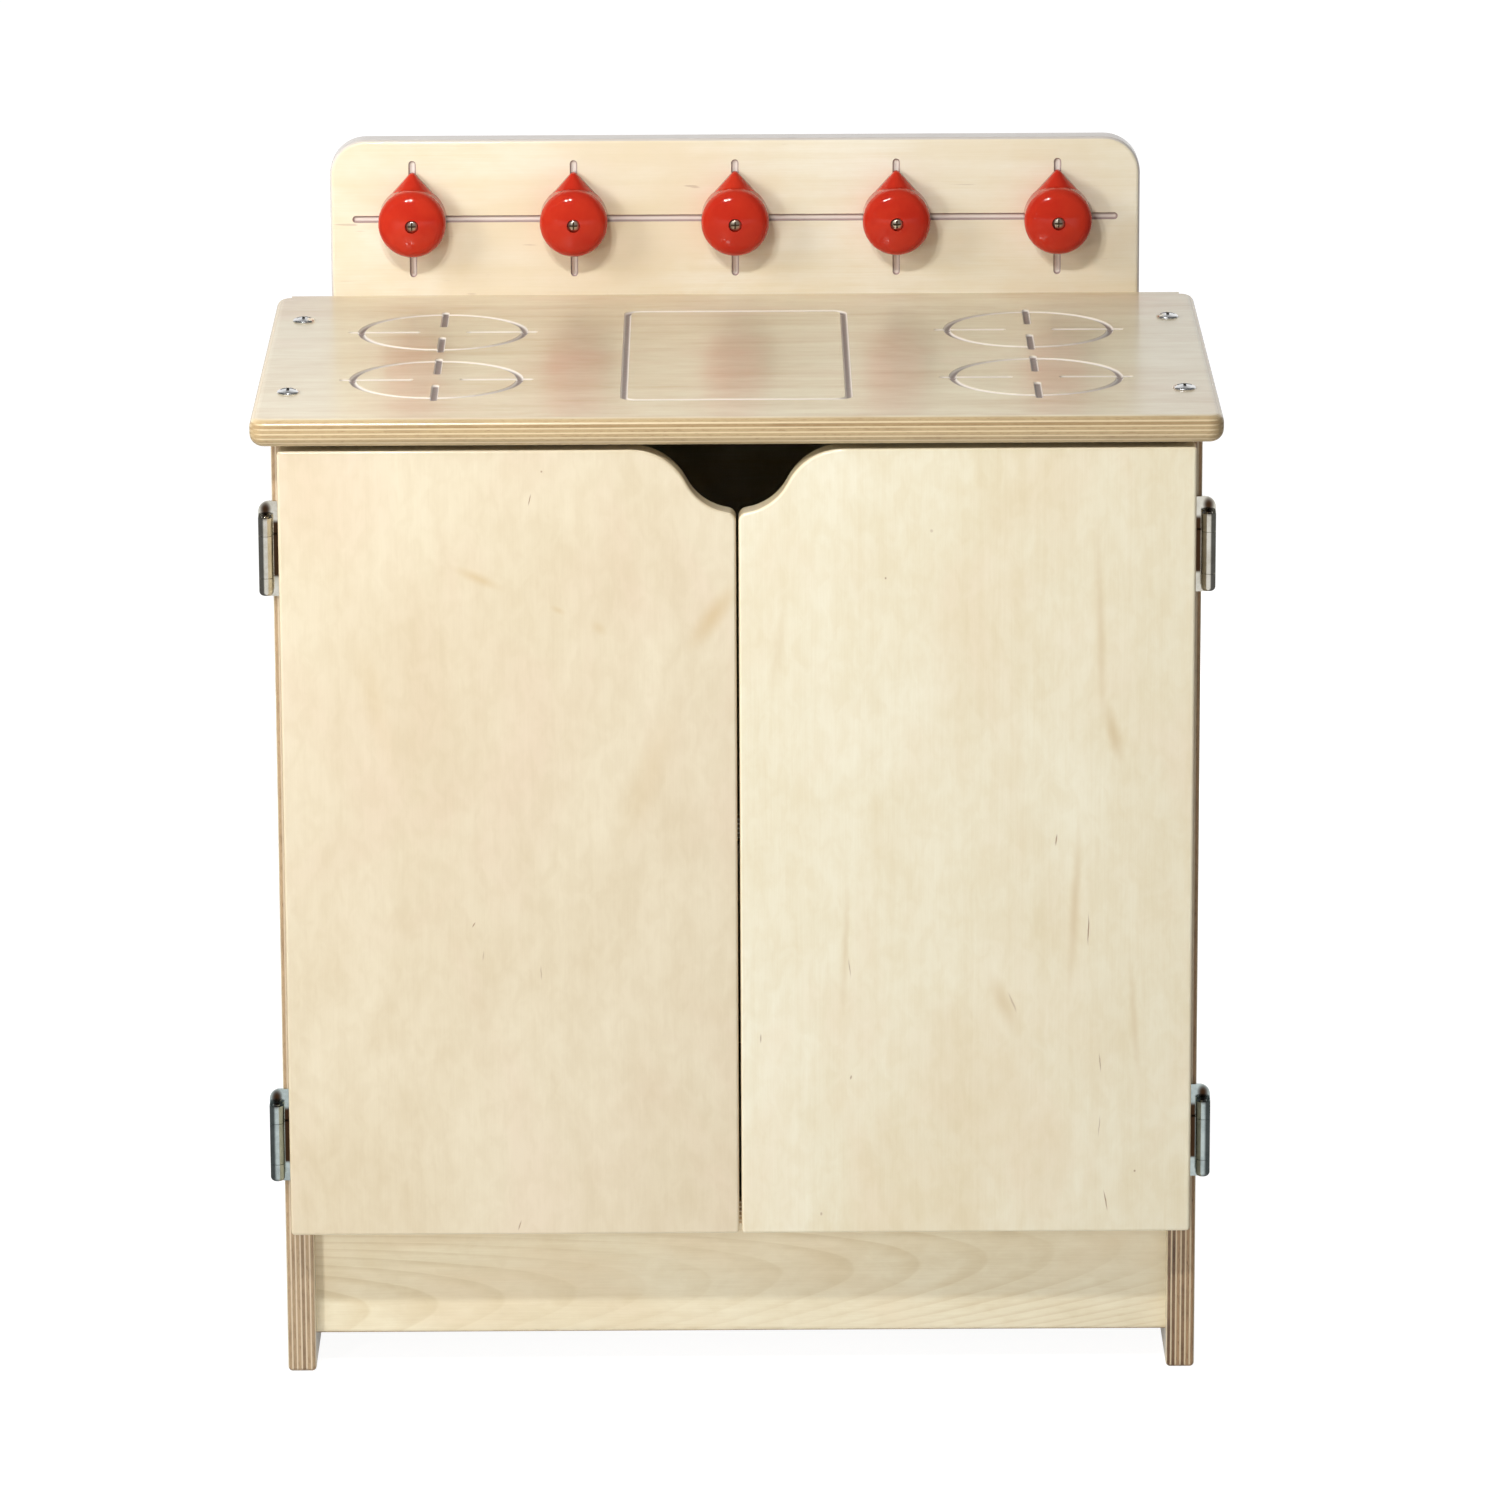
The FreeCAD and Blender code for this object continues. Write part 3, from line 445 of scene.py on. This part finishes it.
# Plywood
class Veneer:
    """A board's face: patterns that run along its grain."""

    def __init__(self, shader, place, look):
        self.shader = shader
        self.place = place
        self.look = look
        self.along = place[look["grain"]]
        self.across = place[across_axis(look)]

    def pattern(self, name):
        along, across, detail, roughness, distortion, low, high = patterns[name]
        shader = self.shader
        along_place = shader.times(self.along, along)
        spot = shader.vector(along_place, shader.times(self.across, across), self.look["seed"])
        field = shader.noise(spot, detail, roughness, distortion)
        if (low, high) == (0.0, 1.0):
            return field
        return shader.step(field, low, high)

    def cathedral_turns(self):
        shader = self.shader
        along_mm = shader.in_mm(self.place["X"])
        middle = shader.add(cathedral_middle_mm, shader.times(along_mm, cathedral_rise))
        off = shader.less(shader.in_mm(self.place["Z"]), middle)
        curve = shader.add(along_mm, shader.times(shader.times(off, off), cathedral_bend))
        curve = shader.add(curve, shader.times(self.pattern("sway"), cathedral_wander_mm))
        return shader.math("DIVIDE", curve, cathedral_spacing_mm)

    def rings(self):
        """Where growth rings show: a thin dark line with one soft side, once in each turn."""
        shader = self.shader
        near = 1.0
        if self.look.get("cathedral"):
            turns = self.cathedral_turns()
        elif self.look.get("arcs"):
            x, z, wide, high, spacing = self.look["arcs"]
            place = shader.texture_place.outputs["Object"]
            inside = shader.within(place, (x * mm, 0, z * mm), 0, (wide * mm, 1.0, high * mm))
            reach = shader.reach(inside)
            turns = shader.times(reach, wide / spacing)
            turns = shader.add(turns, shader.times(self.pattern("slow_sway"), arc_wander))
            near = shader.fall(reach, *arc_fade)
        else:
            turns = shader.times(self.pattern("hills"), self.look["rings"])
        phase = shader.math("FRACT", turns)
        lines = shader.times(shader.step(phase, *ring_rise), shader.fall(phase, *ring_fall))
        return shader.times(shader.times(lines, self.pattern("breaks")), near)

    def colour(self, fibre):
        shader, look = self.shader, self.look
        clouds = shader.blend(drift_share, self.pattern("clouds"), self.pattern("drift"))
        mottle = shader.less(self.pattern("mottle"), noise_middle)
        depth = shader.times(clouds, look["clouds"])
        depth = shader.add(depth, shader.times(self.pattern(look["streak_kind"]), look["streaks"]))
        depth = shader.add(depth, shader.times(self.rings(), look["figure"]))
        depth = shader.add(depth, shader.times(mottle, look["mottle"]))
        depth = shader.add(depth, shader.times(shader.less(fibre, noise_middle), look["fibre"]))
        blush = shader.times(self.pattern("blush"), blush_share)
        colour = shader.mix(blush, look["pale"], look["blush"])
        colour = shader.mix(depth, colour, look["deep"])
        if look["pins"]:
            colour = shader.mix(shader.times(self.pattern("pins"), look["pins"]), colour, mark_brown)
        return colour


def across_axis(look):
    return (set("XYZ") - {look["grain"], look["through"]}).pop()


def marked(shader, colour, marks, brown, front, softness):
    """Adds streaks or smears at their places on a board's front."""
    wobble = shader.less(shader.noise(shader.scaled(mark_wobble_scale)), noise_middle)
    sway = shader.vector(shader.times(wobble, mark_wobble), 0.0, 0.0)
    swayed = shader.out("VectorMath", shader.texture_place.outputs["Object"], sway, operation="ADD")
    for x, z, half_length, half_width, lean, strength in marks:
        inside = shader.within(swayed, (x * mm, front, z * mm), math.radians(lean),
                               (half_width * mm, mark_depth, half_length * mm))
        share = shader.step(shader.reach(inside), softness, 1.0, strength, 0.0)
        colour = shader.mix(share, colour, brown)
    return colour


def edge_colour(shader, place, turn, depth_mm, thickness_mm, look):
    """Cut plies: cream where a ply's grain runs along the surface, and tan to brown where it ends there."""
    grain, across = look["grain"], across_axis(look)
    cream, tan, brown = look["edge"]
    cross_mm = (thickness_mm - 2 * ply_face_mm - (plies_across - 1) * ply_long_mm) / plies_across
    pair_mm = cross_mm + ply_long_mm
    long_share = ply_long_mm / pair_mm

    def spot(along_scale, across_scale, layer):
        along_place = shader.times(place[grain], along_scale)
        return shader.vector(along_place, shader.times(place[across], across_scale), layer)

    def patches(per_metre, layer, **settings):
        return shader.noise(spot(per_metre, per_metre, layer), **settings)

    sway = shader.less(patches(wander_scale, look["seed"], detail=wander_detail), noise_middle)
    wander = shader.times(sway, ply_wander_mm)
    stacked = shader.add(shader.add(depth_mm, ply_long_mm - ply_face_mm), wander)
    pair = shader.math("DIVIDE", stacked, pair_mm)
    phase = shader.math("FRACT", pair)
    crossing = shader.less(shader.step(phase, long_share - ply_blur, long_share + ply_blur),
                           shader.step(phase, 1 - ply_blur, 1.0))
    to_border = shader.lower(shader.size(shader.less(phase, long_share)),
                             shader.lower(phase, shader.less(1.0, phase)))
    ply = shader.add(shader.math("FLOOR", pair), shader.times(shader.math("ROUND", crossing), ply_step))
    ply_tone = shader.node("TexWhiteNoise", noise_dimensions="1D")
    shader.put(ply_tone.inputs["W"], shader.add(ply, look["seed"]))

    end = shader.step(shader.blend(crossing, turn[grain], turn[across]), *end_grain)
    patch = patches(patch_scale, ply, detail=patch_detail, roughness=patch_roughness)
    brownness = shader.add(shader.step(ply_tone.outputs["Value"], *tone_browning),
                           shader.step(patch, *patch_browning))
    ends = shader.mix(shader.times(brownness, look["edge_depth"]), tan, brown)
    colour = shader.mix(shader.times(end, min(1.0, look["edge_depth"] ** edge_mix_power)), cream, ends)
    glue = shader.times(shader.fall(to_border, 0.0, glue_half), shader.step(patch, *glue_patches))
    colour = shader.mix(shader.times(glue, glue_strength * look["edge_depth"]), colour, glue_brown)
    fibre_depth = shader.times(depth_mm, speckle_across * mm)
    fibres = shader.noise(spot(speckle_along, speckle_across, fibre_depth), detail=speckle_detail)
    speckled = shader.blend(end, speckle_on_cream, 1.0)
    speckle = shader.times(shader.step(fibres, *speckle_shares), speckled)
    return shader.mix(shader.times(speckle, min(1.0, look["edge_depth"])), colour, brown)


def from_ends(shader, place, low, high, look):
    """How far a place lies inside the board's outline."""
    inset = None
    for axis in (look["grain"], across_axis(look)):
        number = "XYZ".index(axis)
        above, below = shader.less(place[axis], low[number]), shader.less(high[number], place[axis])
        margin = shader.lower(above, below)
        inset = margin if inset is None else shader.lower(inset, margin)
    return inset


def plywood(board, own_look):
    """Lacquered birch plywood. Its plies lie through the board, so that edges and grooves show them."""
    look = {**plain_look, **own_look}
    shader = Shader(board)
    low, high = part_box(board)
    place, facing = shader.axes("Object"), shader.axes("Normal")
    turn = {axis: shader.size(facing[axis]) for axis in "XYZ"}
    through = "XYZ".index(look["through"])
    thickness_mm = (high - low)[through] / mm
    depth_mm = shader.in_mm(shader.less(place[look["through"]], low[through]))
    from_face = shader.lower(depth_mm, shader.less(thickness_mm, depth_mm))
    pores = shader.noise(shader.scaled(pore_scale))

    veneer = Veneer(shader, place, look)
    fibre = veneer.pattern("fibre")
    face = veneer.colour(fibre)
    face = marked(shader, face, look["smears"], smear_tan, low.y, smear_softness)
    face = marked(shader, face, look["marks"], mark_brown, low.y, mark_softness)
    edge = edge_colour(shader, place, turn, depth_mm, thickness_mm, look)
    colour = shader.mix(shader.step(from_face, *face_ends_mm), face, edge)
    lacquer = lacquer_weight
    if "groove_painted_light" in look:
        # Grooves get painted light and shade: wall and bed colours set by depth, and no lacquer
        wall, bed = look["groove_painted_light"]
        inside = shader.step(from_ends(shader, place, low, high, look), groove_inset, groove_inset + mm)
        cut = shader.times(inside, shader.step(from_face, *groove_start_mm))
        groove_painted_light = shader.mix(shader.step(from_face, *look["groove_turn_mm"]), wall, bed)
        colour = shader.mix(cut, colour, groove_painted_light)
        lacquer = shader.step(cut, 0.0, 1.0, lacquer_weight, 0.0)

    relief = shader.blend(fibre_relief, pores, fibre)
    return shader.finish(
        Base_Color=colour, Roughness=shader.step(fibre, *wood_roughness),
        Normal=shader.bump(relief, wood_relief), Specular_IOR_Level=wood_specular,
        Coat_Weight=lacquer, Coat_Roughness=look["lacquer_roughness"])


# Metals
def hinge_hollow(shader, place):
    """One where a hinge gets painted shade: in the hollow between its barrel and its door, and a painted
    dark reflection above the barrel.
    """
    out_mm = shader.in_mm(shader.size(place["X"]))
    level_mm = shader.in_mm(place["Z"])
    rise = shader.repeat(shader.less(level_mm, hinge_level_mm), hinge_pitch_mm)
    sides = shader.times(shader.step(out_mm, *hollow_inner_mm), shader.fall(out_mm, *hollow_outer_mm))
    hollow = shader.times(sides, shader.fall(shader.size(rise), *hollow_end_mm))
    half_width, half_height = shade_half_mm
    off_side = shader.times(shader.less(out_mm, barrel_out_mm), 1 / half_width)
    off_rise = shader.times(shader.less(rise, shade_rise_mm), 1 / half_height)
    square = shader.add(shader.times(off_side, off_side), shader.times(off_rise, off_rise))
    return shader.math("MAXIMUM", hollow, shader.fall(square, *shade_fade))


def head_cross(shader, first_off, second_off, below_mm, dome_mm, reach_mm):
    """One in the cross of a domed head, where painted shade goes: near its axis and below its dome."""
    square = shader.add(shader.times(first_off, first_off), shader.times(second_off, second_off))
    under = shader.less(below_mm, shader.times(square, 1 / (2 * dome_mm)))
    near = shader.fall(square, reach_mm ** 2, (reach_mm * cross_rim) ** 2)
    return shader.times(shader.step(under, *cross_start_mm), near)


def knob_screw_cross(shader, place):
    across, below, level = (shader.in_mm(place[axis]) for axis in "XYZ")
    across = shader.repeat(across, knob_pitch_mm)
    level = shader.less(level, knob_level_mm)
    below = shader.less(below, knob_screw_crest_mm)
    return head_cross(shader, across, level, below, knob_screw_dome_mm, knob_screw_reach_mm)


def bolt_cross(shader, place):
    across, back, level = (shader.in_mm(place[axis]) for axis in "XYZ")
    across = shader.less(shader.size(across), bolt_out_mm)
    back = shader.repeat(shader.less(back, bolt_back_mm), bolt_pitch_mm)
    below = shader.less(bolt_crest_mm, level)
    return head_cross(shader, across, back, below, bolt_dome_mm, bolt_reach_mm)


def plated_metal(name, painted_shade_mask=None, painted_shade_colour=painted_hollow_shade):
    """Plated steel with fine brushing along an axis, faint handling marks, and painted shade in its hollows
    where a mask is given.
    """
    bright, dull, smooth, rough, brush_axis = metals[name]
    shader = Shader(name)
    place = shader.axes("Object")
    scales = [brush_along if axis == brush_axis else brush_across for axis in "XYZ"]
    spot = shader.vector(*(shader.times(place[axis], scale) for axis, scale in zip("XYZ", scales)))
    brushing = shader.noise(spot, brush_detail, metal_noise_roughness)
    clouds = shader.noise(shader.scaled(metal_cloud_scale), metal_cloud_detail, metal_noise_roughness)
    colour = shader.mix(shader.step(clouds, *metal_clouds), bright, dull)
    # Painted shade where the mask is one, in the given shade colour
    if painted_shade_mask:
        colour = shader.mix(painted_shade_mask(shader, place), colour, painted_shade_colour)
    roughness = shader.add(shader.step(clouds, *metal_clouds, smooth, rough),
                           shader.times(shader.less(brushing, noise_middle), brush_roughness))
    return shader.finish(Base_Color=colour, Metallic=1.0, Roughness=roughness,
                         Normal=shader.bump(brushing, brush_relief))


# Other finishes
def gloss_red():
    shader = Shader("red_gloss")
    clouds = shader.noise(shader.scaled(red_cloud_scale), red_cloud_detail)
    dents = shader.noise(shader.scaled(red_dent_scale))
    return shader.finish(
        Base_Color=shader.mix(shader.step(clouds, *soft_range), *red_tones),
        Roughness=shader.step(clouds, *red_roughness), Normal=shader.bump(dents, red_relief),
        Specular_IOR_Level=red_specular)


def plain_wood():
    shader = Shader("dowel_beech")
    fibre = shader.noise(shader.scaled(dowel_scale), dowel_detail)
    return shader.finish(
        Base_Color=shader.mix(shader.step(fibre, *soft_range), *dowel_tones),
        Roughness=shader.step(fibre, *dowel_roughness), Normal=shader.bump(fibre, dowel_relief))


def moulded(name):
    light, dark, rough_low, rough_high = moulded_tones[name]
    shader = Shader(name)
    grain = shader.noise(shader.scaled(moulded_scale), moulded_detail)
    return shader.finish(
        Base_Color=shader.mix(shader.step(grain, *soft_range), light, dark),
        Roughness=shader.step(grain, *soft_range, rough_low, rough_high),
        Normal=shader.bump(grain, moulded_relief))


def dress_all():
    """Every piece gets a finish: boards and raised heads one each, the rest by its slot in the record."""
    own = {board: plywood(board, look) for board, look in boards.items()}
    own["knob_screws"] = plated_metal("knob_screw_zinc", knob_screw_cross, screw_shade)
    own["top_bolts"] = plated_metal("bolt_zinc", bolt_cross, bolt_shade)
    slate = plated_metal("hinge_slate", hinge_hollow)
    shared = {
        "dowel_beech": plain_wood(),
        "red_gloss": gloss_red(),
        "hinge_steel": plated_metal("hinge_steel", hinge_hollow),
        "zinc_screw": plated_metal("zinc_screw"),
        "catch_plastic": moulded("catch_plastic"),
        "magnet_ferrite": moulded("magnet_ferrite"),
    }
    for part in frame["record"]["subparts"]:
        node = part["node"]
        slots = frame["nodes"][node].data.materials
        slots.clear()
        finish = own[node] if node in own else shared[part["material_slot"]]
        # The lower hinges get the darker, bluer copy of the hinge steel, a painted reflection
        if finish == shared["hinge_steel"] and "lower" in node:
            finish = slate
        slots.append(finish)


# Studio
def make_floor():
    """A pale floor that shows white round the object and keeps its shadow."""
    mesh = bpy.data.meshes.new("floor")
    corners = [(x * floor_half, y * floor_half, 0.0) for x, y in ((-1, -1), (1, -1), (1, 1), (-1, 1))]
    mesh.from_pydata(corners, [], [range(len(corners))])
    floor = bpy.data.objects.new("floor", mesh)
    bpy.context.scene.collection.objects.link(floor)
    material = bpy.data.materials.new("floor")
    material.use_nodes = True
    material.node_tree.nodes.clear()
    mesh.materials.append(material)

    nodes = Nodes(material.node_tree)
    ray = nodes.node("LightPath").outputs
    away = nodes.reach(nodes.texture_place.outputs["Object"])
    glow = nodes.out("Emission", white, nodes.step(away, *floor_glow_reach, *floor_glow))
    shown = nodes.out("AddShader", nodes.out("BsdfDiffuse", grey(floor_shown)), glow)
    bounce = nodes.out("BsdfDiffuse", grey(floor_bounce))
    place = nodes.axes("Object")
    slope = nodes.math("DIVIDE", nodes.size(place["X"]), nodes.add(nodes.size(place["Y"]), strip_lead))
    strip = nodes.out("Emission", white, nodes.step(slope, *strip_sides, strip_bright, strip_dark))
    surface = nodes.out("MixShader", ray["Is Camera Ray"], bounce, shown)
    surface = nodes.out("MixShader", ray["Is Glossy Ray"], surface, strip)
    nodes.node("OutputMaterial", surface)


def make_world():
    """White to the camera, a backdrop in a dark studio to shiny surfaces, and a level of soft light."""
    world = bpy.data.worlds.new("studio")
    world.use_nodes = True
    world.node_tree.nodes.clear()
    bpy.context.scene.world = world
    nodes = Nodes(world.node_tree)
    ray = nodes.node("LightPath").outputs
    mirrored = nodes.step(nodes.axes("Generated")["Y"], *backdrop_start, studio_dark, 1.0)
    level = nodes.blend(ray["Is Glossy Ray"], ambient_strength, mirrored)
    level = nodes.blend(ray["Is Camera Ray"], level, 1.0)
    nodes.node("OutputWorld", nodes.out("Background", white, level))


def make_lamps():
    for name, (place, target, width, height, watts, shines) in lamps.items():
        light = bpy.data.lights.new(name, "AREA")
        light.shape = "RECTANGLE"
        light.size = width
        light.size_y = height
        light.energy = watts
        lamp = bpy.data.objects.new(name, light)
        lamp.visible_camera = False
        lamp.visible_glossy = shines
        lamp.location = place
        lamp.rotation_euler = (Vector(target) - Vector(place)).to_track_quat("-Z", "Y").to_euler()
        bpy.context.scene.collection.objects.link(lamp)


def make_camera():
    data = bpy.data.cameras.new("camera")
    data.sensor_width = sensor_width_mm
    data.lens = lens_mm
    camera = bpy.data.objects.new("camera", data)
    stand = Matrix.Translation(camera_place)
    for angle, axis in ((-camera_yaw, "Z"), (math.pi / 2 - camera_pitch, "X"), (camera_roll, "Z")):
        stand = stand @ Matrix.Rotation(angle, len(stand), axis)
    camera.matrix_world = stand
    bpy.context.scene.collection.objects.link(camera)
    bpy.context.scene.camera = camera


dress_all()
make_floor()
make_world()
make_lamps()
make_camera()
bpy.context.scene.view_settings.view_transform = "Standard"
